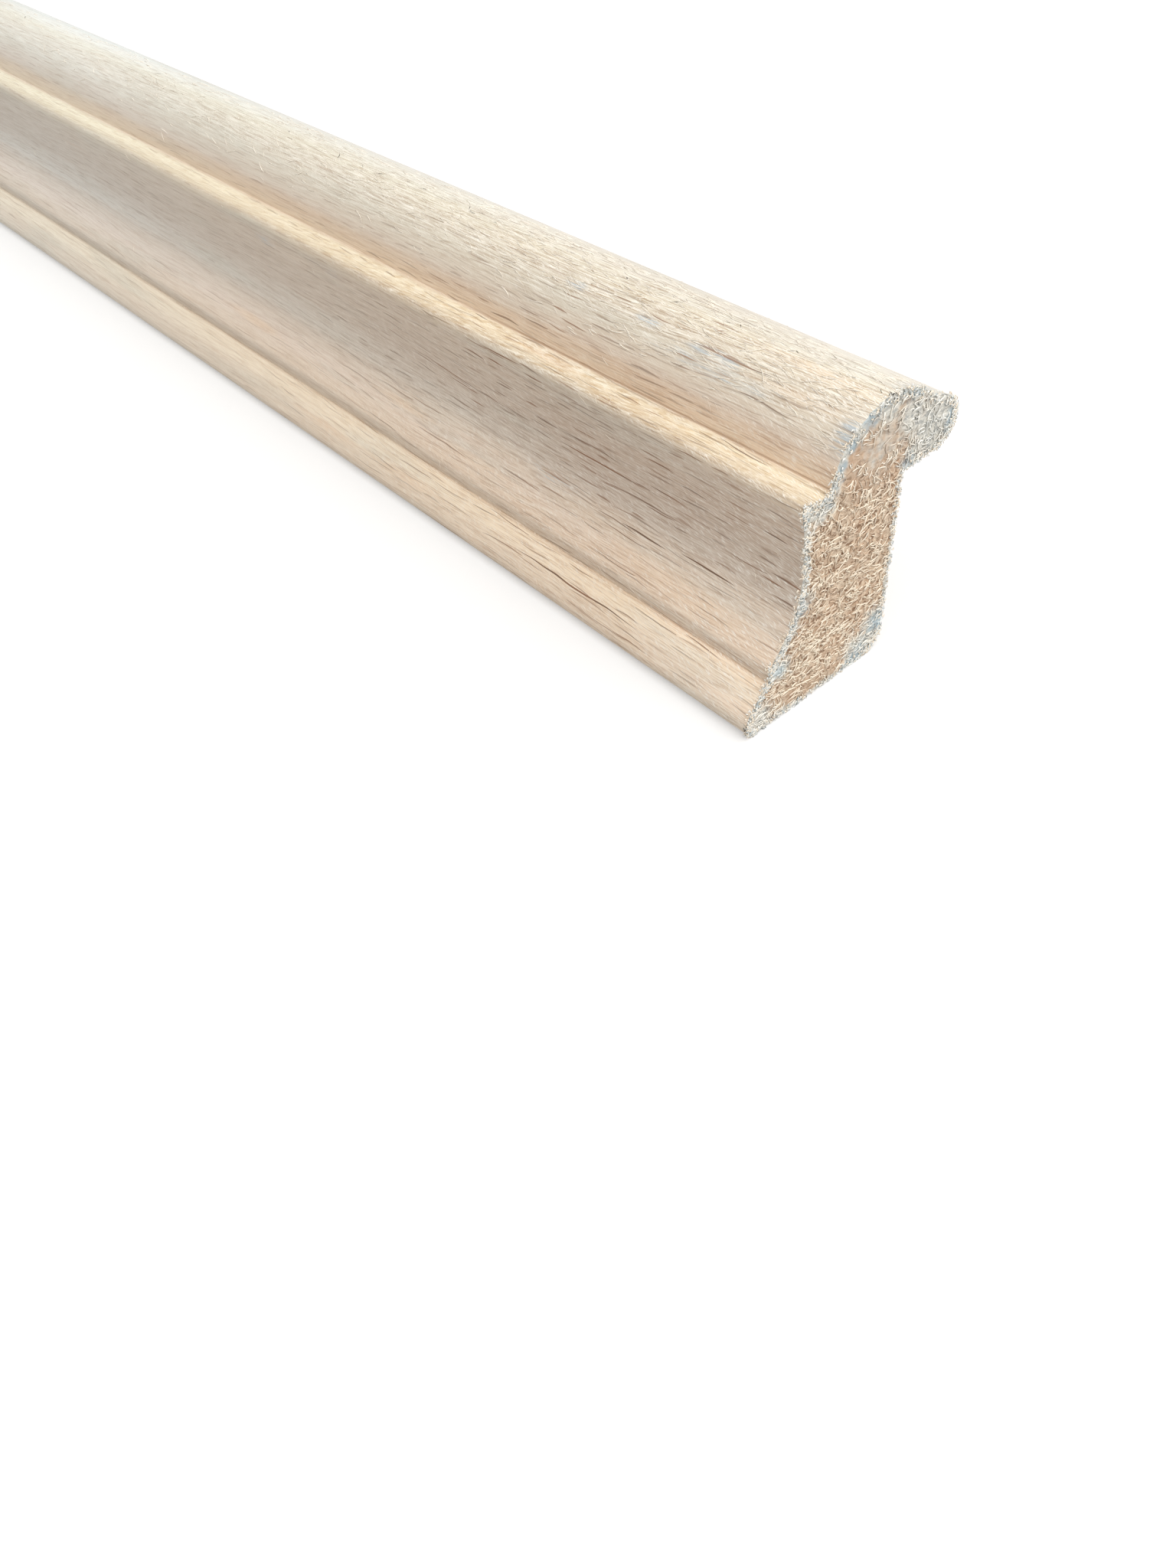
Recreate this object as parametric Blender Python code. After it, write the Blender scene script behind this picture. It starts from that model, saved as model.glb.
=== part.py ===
"""Rebated moulding in beech, one straight length standing on its flat foot.

X runs along the length, +Y points from the moulded face to the rebate, +Z is up.
The origin is under the middle of the bounding box, on the plane of the foot. Units are metres.
The section is drawn as one outline of straight runs and tangent arcs, then extruded to length.
"""

import math

import bpy

# Overall sizes
LENGTH = 1.000
HEIGHT = 0.030
FOOT_DEPTH = 0.020

# Lip and rebate, at the back
LIP_OVERHANG = 0.0072
LIP_DROP = 0.009
LIP_TIP_RADIUS = 0.0027
FOOT_BACK_RADIUS = 0.0024

# Nose, the large half-round along the top; its inset is from the rebate wall to its centre
NOSE_RADIUS = 0.0074
NOSE_INSET = 0.003

# Ledge in front of the nose: it falls away from its arris, then hollows and rises to the nose.
# Its drop and width are to the arris before it is rounded; the valley, where it meets the nose,
# lies a little lower than that arris.
LEDGE_DROP = 0.00585
LEDGE_WIDTH = 0.0038
LEDGE_SLOPE = math.radians(14)
LEDGE_HOLLOW_RADIUS = 0.0018
LEDGE_ARRIS_RADIUS = 0.0006
VALLEY_FALL = 0.00015

# Cove, the long hollow below the ledge; its depth is measured behind that same sharp arris
COVE_DEPTH = 0.0009
COVE_WAIST_DROP = 0.0135

# Step at the bottom of the cove
STEP_SETBACK = 0.0029
STEP_TOP = 0.0074
STEP_ARRIS_RADIUS = 0.0012

# Bead along the front of the foot
BEAD_HEIGHT = 0.0058
BEAD_SETBACK = 0.00265
BEAD_RADIUS = 0.012
BEAD_TIP_RADIUS = 0.0015
BEAD_ARRIS_RADIUS = 0.00015

# How far an arc's facets may stray from the true curve
ARC_TOLERANCE = 0.000002

WOOD_COLOUR = (0.74, 0.60, 0.45, 1.0)
WOOD_ROUGHNESS = 0.62


def clear_scene():
    for obj in list(bpy.data.objects):
        bpy.data.objects.remove(obj)


def arc(centre, radius, start, end):
    """Points (y, z) on a circle from angle start to angle end, in radians, both ends included."""
    step = 2 * math.acos(1 - ARC_TOLERANCE / radius)
    count = max(2, math.ceil(abs(end - start) / step))
    angles = [start + (end - start) * i / count for i in range(count + 1)]
    return [(centre[0] + radius * math.cos(a), centre[1] + radius * math.sin(a)) for a in angles]


def foot_back():
    """Rounded back corner of the foot, from the foot's flat up to the rebate wall."""
    centre = (FOOT_DEPTH - FOOT_BACK_RADIUS, FOOT_BACK_RADIUS)
    return arc(centre, FOOT_BACK_RADIUS, -math.pi / 2, 0)


def lip_and_nose():
    """Lip's underside, its round tip, and the nose from the lip over the crest down to the ledge."""
    underside = HEIGHT - LIP_DROP
    tip = (FOOT_DEPTH + LIP_OVERHANG - LIP_TIP_RADIUS, underside + LIP_TIP_RADIUS)
    nose = (FOOT_DEPTH - NOSE_INSET, HEIGHT - NOSE_RADIUS)
    across, rise = tip[0] - nose[0], tip[1] - nose[1]
    # The straight run between the two circles touches both where their normals point this way.
    turn = math.acos((NOSE_RADIUS - LIP_TIP_RADIUS) / math.hypot(across, rise))
    shared = math.atan2(rise, across) + turn
    valley_height = HEIGHT - LEDGE_DROP - VALLEY_FALL
    valley = math.pi - math.asin((valley_height - nose[1]) / NOSE_RADIUS)
    return (
        [(FOOT_DEPTH, underside)]
        + arc(tip, LIP_TIP_RADIUS, -math.pi / 2, shared)
        + arc(nose, NOSE_RADIUS, shared, valley)
    )


def moved(point, heading, distance):
    return (point[0] + heading[0] * distance, point[1] + heading[1] * distance)


def ledge(valley, arris, heading, outward):
    """The ledge's hollow, from the nose to where the straight fall from the arris touches it."""
    across, rise = valley[0] - arris[0], valley[1] - arris[1]
    along = across * heading[0] + rise * heading[1]
    height = across * outward[0] + rise * outward[1]
    reach = math.sqrt(height * (2 * LEDGE_HOLLOW_RADIUS - height))
    centre = moved(moved(arris, heading, along - reach), outward, LEDGE_HOLLOW_RADIUS)
    start = math.atan2(valley[1] - centre[1], valley[0] - centre[0])
    return arc(centre, LEDGE_HOLLOW_RADIUS, start, -math.pi / 2 - LEDGE_SLOPE)


def rounding(corner, heading, outward, hollow, hollow_radius, radius):
    """Centre of an edge's rounding, and the direction to it from the hollow's centre.

    The edge is at corner, between the hollow's circle and a straight face along heading. The
    rounding lies in the wood and touches both.
    """
    start = moved(corner, outward, -radius)
    across, rise = start[0] - hollow[0], start[1] - hollow[1]
    along = across * heading[0] + rise * heading[1]
    beyond = (hollow_radius + radius) ** 2 - across**2 - rise**2
    centre = moved(start, heading, math.sqrt(along**2 + beyond) - along)
    return centre, math.atan2(centre[1] - hollow[1], centre[0] - hollow[0])


def cove(arris, heading, outward):
    """Rounded arris of the ledge, the hollow as two arcs that meet upright at the waist, rounded step."""
    waist = (arris[0] + COVE_DEPTH, HEIGHT - COVE_WAIST_DROP)
    upper_rise = arris[1] - waist[1]
    upper_radius = (upper_rise**2 + COVE_DEPTH**2) / (2 * COVE_DEPTH)
    upper = (waist[0] - upper_radius, waist[1])
    lower_fall = waist[1] - STEP_TOP
    lower_depth = waist[0] - STEP_SETBACK
    lower_radius = (lower_fall**2 + lower_depth**2) / (2 * lower_depth)
    lower = (waist[0] - lower_radius, waist[1])
    step = (STEP_SETBACK, STEP_TOP)
    brow, brow_angle = rounding(arris, heading, outward, upper, upper_radius, LEDGE_ARRIS_RADIUS)
    knee, knee_angle = rounding(step, (0, -1), (-1, 0), lower, lower_radius, STEP_ARRIS_RADIUS)
    return (
        arc(brow, LEDGE_ARRIS_RADIUS, math.pi / 2 - LEDGE_SLOPE, brow_angle + math.pi)
        + arc(upper, upper_radius, brow_angle, 0)[1:]
        + arc(lower, lower_radius, 0, knee_angle)[1:]
        + arc(knee, STEP_ARRIS_RADIUS, knee_angle + math.pi, math.pi)[1:]
    )


def bead():
    """The bead's face, from its top edge down round its tip to the foot's flat."""
    top = (BEAD_SETBACK, BEAD_HEIGHT)
    tip = (BEAD_TIP_RADIUS, BEAD_TIP_RADIUS)
    # The face's circle passes through the top edge and holds the tip's circle, touching it from inside.
    reach = BEAD_RADIUS - BEAD_TIP_RADIUS
    across, rise = top[0] - tip[0], top[1] - tip[1]
    span = math.hypot(across, rise)
    opening = math.acos((reach**2 + span**2 - BEAD_RADIUS**2) / (2 * reach * span))
    heading = math.atan2(rise, across) - opening
    centre = (tip[0] + reach * math.cos(heading), tip[1] + reach * math.sin(heading))
    start = math.atan2(top[1] - centre[1], top[0] - centre[0])
    face = arc(centre, BEAD_RADIUS, start, heading + math.pi)
    return face + arc(tip, BEAD_TIP_RADIUS, heading + math.pi, 1.5 * math.pi)[1:]


def eased(before, corner, after, wanted):
    """A sharp corner (y, z) rounded to the wanted radius, or to what its neighbours leave room for."""
    to_before = (before[0] - corner[0], before[1] - corner[1])
    to_after = (after[0] - corner[0], after[1] - corner[1])
    lengths = math.hypot(*to_before), math.hypot(*to_after)
    first = math.atan2(to_before[1], to_before[0])
    second = math.atan2(to_after[1], to_after[0])
    half_angle = (((second - first + math.pi) % (2 * math.pi)) - math.pi) / 2
    trim = min(wanted / abs(math.tan(half_angle)), 0.45 * min(lengths))
    radius = trim * abs(math.tan(half_angle))
    middle = first + half_angle
    reach = math.hypot(radius, trim)
    centre = (corner[0] + reach * math.cos(middle), corner[1] + reach * math.sin(middle))
    half_sweep = math.copysign(math.pi / 2 - abs(half_angle), half_angle)
    return arc(centre, radius, middle + math.pi + half_sweep, middle + math.pi - half_sweep)


def section():
    """The whole outline (y, z), anticlockwise as seen from +X, with y 0 at the bead's tip."""
    head = lip_and_nose()
    valley = head[-1]
    arris = (valley[0] - LEDGE_WIDTH, HEIGHT - LEDGE_DROP)
    heading = (math.cos(LEDGE_SLOPE), -math.sin(LEDGE_SLOPE))
    outward = (math.sin(LEDGE_SLOPE), math.cos(LEDGE_SLOPE))
    step_foot = (STEP_SETBACK, BEAD_HEIGHT)
    bead_face = bead()
    bead_arris = eased(step_foot, bead_face[0], bead_face[1], BEAD_ARRIS_RADIUS)
    return (
        foot_back() + head
        + ledge(valley, arris, heading, outward)[1:] + cove(arris, heading, outward)
        + [step_foot] + bead_arris + bead_face[1:]
    )


def wood():
    material = bpy.data.materials.new("beech")
    material.use_nodes = True
    shader = material.node_tree.nodes["Principled BSDF"]
    shader.inputs["Base Color"].default_value = WOOD_COLOUR
    shader.inputs["Roughness"].default_value = WOOD_ROUGHNESS
    shader.inputs["Metallic"].default_value = 0.0
    return material


def moulding():
    """The section as a filled 2D curve, extruded both ways from the middle of the length."""
    outline = section()
    middle = (FOOT_DEPTH + LIP_OVERHANG) / 2
    curve = bpy.data.curves.new("rebated_moulding", "CURVE")
    curve.dimensions = "2D"
    curve.fill_mode = "BOTH"
    curve.extrude = LENGTH / 2
    spline = curve.splines.new("POLY")
    spline.points.add(len(outline) - 1)
    for point, (y, z) in zip(spline.points, outline):
        point.co = (y - middle, z, 0, 1)
    spline.use_cyclic_u = True
    curve.materials.append(wood())
    obj = bpy.data.objects.new("rebated_moulding", curve)
    # Turns the curve's own X, Y and Z to the world's Y, Z and X.
    obj.rotation_euler = (math.pi / 2, 0, math.pi / 2)
    return obj


def main():
    clear_scene()
    parts = bpy.data.collections.new("rebated_moulding_parts")
    bpy.context.scene.collection.children.link(parts)
    parts.objects.link(moulding())


main()
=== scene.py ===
"""The looks of the rebated moulding: bare timber, rough sawn ends and loose fibres, with camera and light.

Lengths are metres in the frame's axes: X along the length, +Y towards the rebate, +Z up.
Places on the section are in millimetres (y, z), from the bead's tip and from the plane of the foot.
"""

import math

import bpy
import numpy as np
from mathutils import Matrix, Vector, geometry, noise


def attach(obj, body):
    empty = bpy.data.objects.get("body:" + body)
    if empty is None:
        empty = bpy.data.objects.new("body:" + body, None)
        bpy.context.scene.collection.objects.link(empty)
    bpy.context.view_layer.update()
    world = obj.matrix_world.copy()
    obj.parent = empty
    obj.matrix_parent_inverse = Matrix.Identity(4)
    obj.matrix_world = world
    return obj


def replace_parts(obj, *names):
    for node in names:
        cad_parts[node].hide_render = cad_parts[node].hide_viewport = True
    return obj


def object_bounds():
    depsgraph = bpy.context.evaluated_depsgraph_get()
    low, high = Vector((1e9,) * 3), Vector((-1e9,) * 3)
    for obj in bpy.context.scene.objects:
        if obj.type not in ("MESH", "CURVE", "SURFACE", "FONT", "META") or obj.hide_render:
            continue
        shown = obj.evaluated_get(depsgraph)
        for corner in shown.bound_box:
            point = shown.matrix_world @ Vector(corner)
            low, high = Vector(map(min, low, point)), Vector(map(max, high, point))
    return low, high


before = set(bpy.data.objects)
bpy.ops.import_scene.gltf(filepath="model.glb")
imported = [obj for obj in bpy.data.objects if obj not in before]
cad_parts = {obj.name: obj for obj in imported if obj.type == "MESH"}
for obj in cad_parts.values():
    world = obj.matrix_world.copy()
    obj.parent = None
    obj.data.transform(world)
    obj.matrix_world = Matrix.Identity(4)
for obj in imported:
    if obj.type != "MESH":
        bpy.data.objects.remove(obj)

CAD_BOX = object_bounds()
FAR_END, NEAR_END = CAD_BOX[0][0], CAD_BOX[1][0]
LENGTH = NEAR_END - FAR_END
SECTION_ORIGIN = (CAD_BOX[0][1], CAD_BOX[0][2])
MM = 0.001
NODE = "rebated_moulding"
BODY = "root"
SEED = 2404

# Timber mesh
GIRTH_STEP = 0.6 * MM
END_STEP = 0.4 * MM
LONG_STEP = 6.0 * MM
STEP_GROWTH = 1.035
FACE_WAVE = 0.03 * MM
ARRIS_WEAR = 0.05 * MM
SHARP_ANGLE = math.radians(28)

# Sawn ends
END_RECESS = 0.18 * MM
END_CLEARANCE = 0.07 * MM
END_RELIEF = 0.2 * MM
END_FRAY = 0.12 * MM
END_NICK = 0.05 * MM
PIT_DEPTH = 0.25 * MM
SAW_PITCH = 1.35
RELIEF_SEED = 31
# The grid on a sawn end; its points shift by a share of a cell and keep a share of one clear of the rim
END_CELL = 0.24 * MM
CELL_SHIFT = 0.32
CELL_MARGIN = 0.55

# Loose fibres on the sawn ends; lengths and widths are from and to, in millimetres
END_THREADS = 2300
THREAD_LENGTH = (0.3, 1.5)
THREAD_WIDTH = (0.1, 0.18)
THREAD_SLANT = math.radians(-14)
RIM_CURLS = 2200
CURL_LENGTH = (0.2, 0.5)
CURL_WIDTH = (0.1, 0.2)
LONG_THREAD_STEP = 1.1 * MM
LONG_THREAD_PIECE = 1.5 * MM
LONG_THREAD_WIDTH = 0.17 * MM
FIBRE_ARCH = 0.06 * MM
FIBRE_SINK = 0.03 * MM

# Hairs on the long faces: how many; how far back most lie, in millimetres; the shares of those and of the
# rest, None for even ones; slant and its spread; sizes from and to in millimetres; stain; and paleness
TUFTS = {
    "count": 1500, "near": 60, "shares": (0.7, 0.3), "slant": (0, 0.22), "length": (0.7, 2.6),
    "width": (0.06, 0.13), "rise": (0.02, 0.07), "stain": 0.5, "pale": (0.55, 1),
}
WHISKERS = {
    "count": 700, "near": 40, "shares": None, "slant": (-0.5, 0.35), "length": (0.5, 1.6),
    "width": (0.03, 0.06), "rise": (0.0, 0.06), "stain": 0.3, "pale": (0.5, 1),
}
HAIR_MARGIN = 10 * MM

# Places on the section (y, z) where the looks change
CREST = (16.5, 30)
VALLEY = (9.73, 24.0)
LEDGE_INSIDE = (9.3, 23.7)
LEDGE_ARRIS = (6.5, 23.88)
LOWER_COVE = (5.9, 12)

# Colours of the bare timber round the section: place (y, z) and tone; the whiter cream over the lip and
# crest is partly painted highlight, and the peach low on the nose is partly painted light reflected from the
# ledge
TONES = (
    ((10, 0), (0.7, 0.58, 0.45)),
    ((20, 10), (0.72, 0.6, 0.46)),
    ((24, 21), (0.72, 0.6, 0.46)),
    # Lip and crest: whitened in part by painted highlight
    ((27.2, 23.7), (0.76, 0.7, 0.6)),
    ((24.6, 26.8), (0.8, 0.785, 0.72)),
    ((18.6, 29.8), (0.82, 0.81, 0.72)),
    ((16.3, 29.97), (0.75, 0.71, 0.58)),
    ((14.2, 29.4), (0.715, 0.665, 0.555)),
    ((12.4, 28.3), (0.68, 0.63, 0.525)),
    ((11, 26.9), (0.69, 0.61, 0.505)),
    ((10.6, 26.2), (0.7, 0.6, 0.495)),
    # Low on the nose: peach, partly painted light reflected from the ledge
    ((10.25, 25.6), (0.72, 0.58, 0.445)),
    ((9.8, 24.3), (0.8, 0.65, 0.495)),
    ((9.73, 24), (0.79, 0.63, 0.475)),
    ((9.34, 23.74), (0.87, 0.78, 0.59)),
    ((8.11, 23.61), (0.77, 0.69, 0.525)),
    ((6.95, 23.9), (0.7, 0.61, 0.455)),
    ((6.5, 23.88), (0.56, 0.475, 0.36)),
    ((6.13, 23.3), (0.72, 0.61, 0.475)),
    ((6.27, 22.55), (0.65, 0.54, 0.435)),
    ((6.9, 16.5), (0.605, 0.505, 0.415)),
    ((6.4, 13.2), (0.64, 0.56, 0.475)),
    ((5.6, 11.2), (0.76, 0.65, 0.535)),
    ((4.6, 9.4), (0.84, 0.71, 0.59)),
    ((3.84, 8.39), (0.79, 0.66, 0.53)),
    ((3.08, 7.53), (0.75, 0.62, 0.49)),
    ((2.9, 6.9), (0.71, 0.6, 0.48)),
    ((2.9, 5.8), (0.67, 0.55, 0.42)),
    ((2.61, 5.75), (0.89, 0.75, 0.57)),
    ((1.7, 4.7), (0.93, 0.8, 0.62)),
    ((0.6, 3.1), (0.84, 0.71, 0.56)),
    ((0, 1.5), (0.8, 0.68, 0.54)),
)
# The near end and patches beyond the photo are warmer, and the stretch between them is greyer
WARM_TINT = (1, 0.97, 0.95)
GREY_TINT = (1, 1.07, 1.14)
# Slow changes of colour along the length: distance back where each sets in, where it is full, and its tint
TONE_DRIFTS = (
    (75, 30, WARM_TINT),
    (24, 8, (1.04, 1.05, 1.06)),
    (45, 100, (0.97, 0.97, 0.98)),
)
# Paler stretches: from and to a place (y, z), from and to a distance back, softness of the ends, and tint
PALE_STRETCHES = (
    ((6.3, 23), (6.4, 13.2), 85, 185, 45, (1.12, 1.15, 1.16)),
    ((6.3, 22.5), (5.9, 12), 42, 52, 12, (1.04, 1.06, 1.07)),
    ((2.6, 5.7), (0.4, 2.6), 0, 11, 8, (1.09, 1.08, 1.09)),
    ((20, 29.4), (11, 26.9), 150, 210, 35, (1.05, 1.035, 1.045)),
)
# Changes of strength along the length: from and to a distance back, and the strength before and after
FADES = {
    "crisp": (25, 110, 1.1, 0.36),
    "combed": (70, 160, 1, 0.5),
    "ragged": (4, 18, 1, 0),
    "ledge": (5, 30, 0.5, 1),
    "flecks": (3, 24, 0.45, 1),
    "valley": (38, 60, 0.7, 0),
    "grey": (70, 170, 0, 1),
    "unseen": (220, 330, 0, 1),
}

# Colours on the planed faces; a tint darkens what it lies on, by multiplying it
PATCH = (0.62, 0.6, 0.52)
PEACH = (0.85, 0.665, 0.49)
COOL = (0.46, 0.53, 0.58)
BAND_TINT = (0.86, 0.82, 0.79)
MEDIUM_TINT = (0.76, 0.68, 0.62)
FINE_TINT = (0.66, 0.57, 0.5)
BRIGHT = (0.94, 0.9, 0.81)
FUZZ = (0.94, 0.9, 0.83)
NAP_TINT = (0.86, 0.78, 0.68)
NAP = (0.93, 0.88, 0.76)
# Painted shade in the crease of the valley between the nose and the ledge
VALLEY_SHADE = (0.42, 0.27, 0.17)
FLECK = (0.18, 0.108, 0.07)
RUSTY_FLECK = (0.27, 0.14, 0.08)

# Colours of the sawn ends: plain, stained grey and stained blue, each with its gaps or its threads; the
# gaps' colours are painted shade in the hollows between the torn fibres
SAWN_TONES = ((0.56, 0.39, 0.27), (0.56, 0.44, 0.33))
SAWN_GAP_SHADE = (0.25, 0.15, 0.09)
SAWN_THREAD = (0.96, 0.8, 0.62)
GREY_SAWN = (0.66, 0.655, 0.6)
GREY_GAP_SHADE = (0.27, 0.3, 0.31)
GREY_THREAD = (0.96, 0.95, 0.9)
BLUE_SAWN = (0.36, 0.45, 0.5)
BLUE_THREAD = (0.72, 0.8, 0.83)
PIT = (0.22, 0.13, 0.08)

# Colours of the loose fibres, the darkest and the palest of each sort
WARM_FIBRES = ((0.58, 0.41, 0.28), (0.98, 0.88, 0.73))
GREY_FIBRES = ((0.55, 0.56, 0.54), (0.99, 0.98, 0.93))
BLUE_FIBRES = (BLUE_SAWN, (0.68, 0.78, 0.82))

# Streaks along the grain: length and width of their waves in millimetres, detail, slant and seed
STREAKS = {
    "patch": (34, 4, 2, 0, 2),
    "blush": (16, 1.2, 3, 0, 3),
    "band": (170, 1.6, 3, 0, 5),
    "medium": (9, 0.3, 3, 0, 7),
    "fine": (3.6, 0.12, 3, 0, 11),
    "bright": (4.2, 0.14, 2, 0, 17),
    "fuzz": (0.9, 0.11, 2, -0.35, 19),
    "wisp": (3.4, 0.13, 3, 0, 23),
    "nap": (2, 0.45, 4, 0.2, 29),
}
# Ray flecks: length and width of their cells, half length, half width, share of the cells that hold one
# and seed
FLECKS = {
    "short": ((5.6, 1), 2.6, 0.1, 1, 1),
    "faint": ((4.5, 1.1), 1.5, 0.07, 0.8, 2),
    "long": ((26, 5), 7, 0.09, 0.45, 3),
    "slim": ((8.5, 1.1), 4.4, 0.075, 0.9, 4),
}
LONG_FLECK_HALF_WIDTH = 0.09
# How far a pattern moves for each count of its seed
STREAK_SHIFT = (13.7, 5.3, 0)
FLECK_SHIFT = (37.1, 11.9, 0)
THREAD_SHIFT = (0, 17, 9)
THREAD_TURN = math.radians(22)
# Between the nodes in the editor
NODE_STEP = 220

# Marks on the long faces: distance back, place (y, z), half length, half girth and strength
PEACH_MARKS = (
    (13, (4.4, 9.1), 12, 1.6, 0.9),
    (28, (5.2, 10.3), 8, 0.9, 0.5),
    (48, (4.3, 8.9), 7, 0.7, 0.7),
    (62, (5, 10.1), 6, 0.6, 1),
    (97, (4.7, 9.6), 6, 0.7, 0.8),
    (16, (0.8, 3.3), 6, 1.6, 0.45),
    (58, (1.2, 4), 6, 0.8, 0.8),
    (76, (0.9, 3.6), 6, 0.7, 0.7),
    (37, (8.9, 23.6), 6, 0.9, 0.7),
    (7, (15.6, 29.9), 8, 0.9, 0.6),
    (6, (13, 28.8), 7, 0.9, 0.5),
)
COOL_MARKS = (
    (0.5, (12.2, 28.2), 1.8, 2.2, 0.9),
    (0.5, (22, 28.3), 1.6, 5, 0.7),
    (17.8, (13.3, 29), 3.4, 0.6, 1),
    (27, (13.6, 29.2), 1.8, 0.5, 1),
    (37.5, (13.7, 29.25), 1.8, 0.5, 1),
    (17, (12, 28.1), 9, 1, 0.5),
    (75, (6.5, 22), 3, 0.8, 0.4),
    (92, (6.4, 21.5), 3, 1, 0.5),
    (35, (5.9, 12), 6, 1.2, 0.4),
)
# Long thin ray flecks: distance back of both ends, place (y, z) and sway across the grain
LONG_FLECKS = (
    (21.3, 34, (6.82, 16), 0.1),
    (16.8, 37, (1.15, 4), 0.35),
    (7.5, 15, (5.95, 11.9), 0.15),
    (17, 23.5, (5.75, 11.4), 0.15),
    (10.5, 21, (13.4, 29.06), 0.25),
    (38.5, 45.5, (6.16, 23.1), 0.1),
)

# Stains on the sawn ends, blue and grey: place (y, z), radius and strength
BLUE_SPOTS = (
    ((26.5, 23.6), 1.5, 0.9),
    ((20.3, 21.8), 1.3, 0.8),
    ((19.4, 3.5), 1.9, 1),
    ((16.1, 0.8), 2, 0.9),
    ((14.2, 28.7), 1.4, 0.85),
    ((20.2, 28.8), 1, 0.7),
    ((12.2, 27.2), 1.3, 0.75),
    ((11, 25.6), 1.1, 0.7),
    ((7, 14), 0.8, 0.8),
    ((6.9, 12.2), 0.8, 0.7),
    ((9.7, 22.8), 1, 0.7),
    ((6.4, 23.3), 0.8, 0.8),
    ((10.9, 24.2), 0.9, 0.6),
    ((4.3, 6.5), 1.1, 0.8),
)
GREY_SPOTS = (
    ((23.5, 24), 4.2, 1),
    ((17, 29.3), 2.6, 0.9),
    ((20.6, 26.5), 3, 0.9),
    ((7.4, 12.8), 1.5, 0.8),
    ((4.6, 6.6), 1.6, 0.8),
    ((16.5, 1.5), 3.2, 0.8),
    ((18.6, 4), 2.4, 0.9),
    ((1.8, 1.8), 2.2, 0.8),
    ((8.5, 22.3), 1.8, 0.8),
    ((16.5, 25.5), 4.2, 0.45),
)
# Where the threads on the sawn ends lie thin: place (y, z), radius and share left out
CALM_SPOTS = (
    ((15.5, 25.5), 4.5, 0.8),
    ((13, 21.5), 2.5, 0.35),
    ((11.6, 26.4), 2.4, 0.9),
    ((13.8, 28.6), 2.2, 0.9),
    ((23, 25.6), 4.5, 0.3),
    ((5.5, 1.6), 1.8, 0.7),
    ((9.5, 1.3), 1.8, 0.7),
    ((13, 1.2), 1.6, 0.5),
)
# Pits in the sawn ends: place (y, z) and radius
PITS = (
    ((10.5, 17.4), 0.3),
    ((8.9, 3.2), 0.42),
    ((7.6, 7.5), 0.34),
    ((14.8, 8.5), 0.3),
    ((7.7, 13.1), 0.4),
    ((3.4, 7.2), 0.4),
    ((19.3, 11.5), 0.25),
    ((11.3, 21.7), 0.32),
    ((15.4, 4.6), 0.25),
    ((17, 16.2), 0.25),
    ((12.4, 11.2), 0.22),
    ((18, 20.6), 0.22),
    ((20.6, 27.6), 0.22),
)
# Long pale threads on the sawn ends, from (y, z) to (y, z)
LONG_THREADS = (
    ((3.5, 3.5), (10.3, 2.1)),
    ((7.9, 6.9), (13.9, 6.5)),
    ((11.3, 14.1), (13.5, 13.7)),
    ((13.9, 20.1), (16.9, 19.7)),
)

# Light, floor and camera
FLOOR_TONE = (0.57, 0.57, 0.57)
FLOOR_GLOW = 0.37
FLOOR_FADE = 4.0
FLOOR_HALF = 8.0
FLOOR_DROP = 0.02 * MM
ROOM_TONE = (1.0, 0.99, 0.975)
ROOM_STRENGTH = 0.6
WHITE = (1.0, 1.0, 1.0)
LAMP_POWER = 72.0
LAMP_SIZE = 3.0
LAMP_TONE = (1.0, 0.99, 0.97)
LAMP_PLACE = (1.8, 0.05, 2.15)
CAMERA_FROM_END = 53.74 * MM
CAMERA_BEFORE_FOOT = 60.15 * MM
CAMERA_HEIGHT = 83.8 * MM
CAMERA_AZIMUTH = math.radians(53.16)
CAMERA_ELEVATION = math.radians(47.85)
CAMERA_ROLL = math.radians(-6.17)
FOCAL_PIXELS = 1535
PHOTO_LONG_SIDE = 2048
SENSOR = 36.0


# Section

def section_outline(node):
    """The CAD section as points (y, z), anticlockwise as seen from +X, from the middle of the foot."""
    mesh = node.data
    far = max(v.co.x for v in mesh.vertices)
    end = [v for v in mesh.vertices if far - v.co.x < 0.01 * MM]
    place = {v.index: (round(v.co.y, 7), round(v.co.z, 7)) for v in end}
    edges = set()
    for face in mesh.polygons:
        if all(i in place for i in face.vertices):
            corners = [place[i] for i in face.vertices]
            edges.update(zip(corners, corners[1:] + corners[:1]))
    border = {a: b for a, b in edges if (b, a) not in edges}
    loop = [next(iter(border))]
    while border[loop[-1]] != loop[0]:
        loop.append(border[loop[-1]])
    loop = np.array(loop)
    after = np.roll(loop, -1, axis=0)
    if np.sum(loop[:, 0] * after[:, 1] - after[:, 0] * loop[:, 1]) < 0:
        loop = loop[::-1]
        after = np.roll(loop, -1, axis=0)
    on_floor = (loop[:, 1] < 0.05 * MM) & (after[:, 1] < 0.05 * MM)
    first = int(np.argmax(np.abs(after[:, 0] - loop[:, 0]) * on_floor))
    middle = (loop[first] + after[first]) / 2
    return np.vstack([[middle], np.roll(loop, -(first + 1), axis=0)])


def refined(loop):
    """The outline with no step longer than GIRTH_STEP."""
    points = []
    for a, b in zip(loop, np.roll(loop, -1, axis=0)):
        count = max(1, math.ceil(np.linalg.norm(b - a) / GIRTH_STEP))
        points += [a + (b - a) * k / count for k in range(count)]
    return np.array(points)


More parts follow.
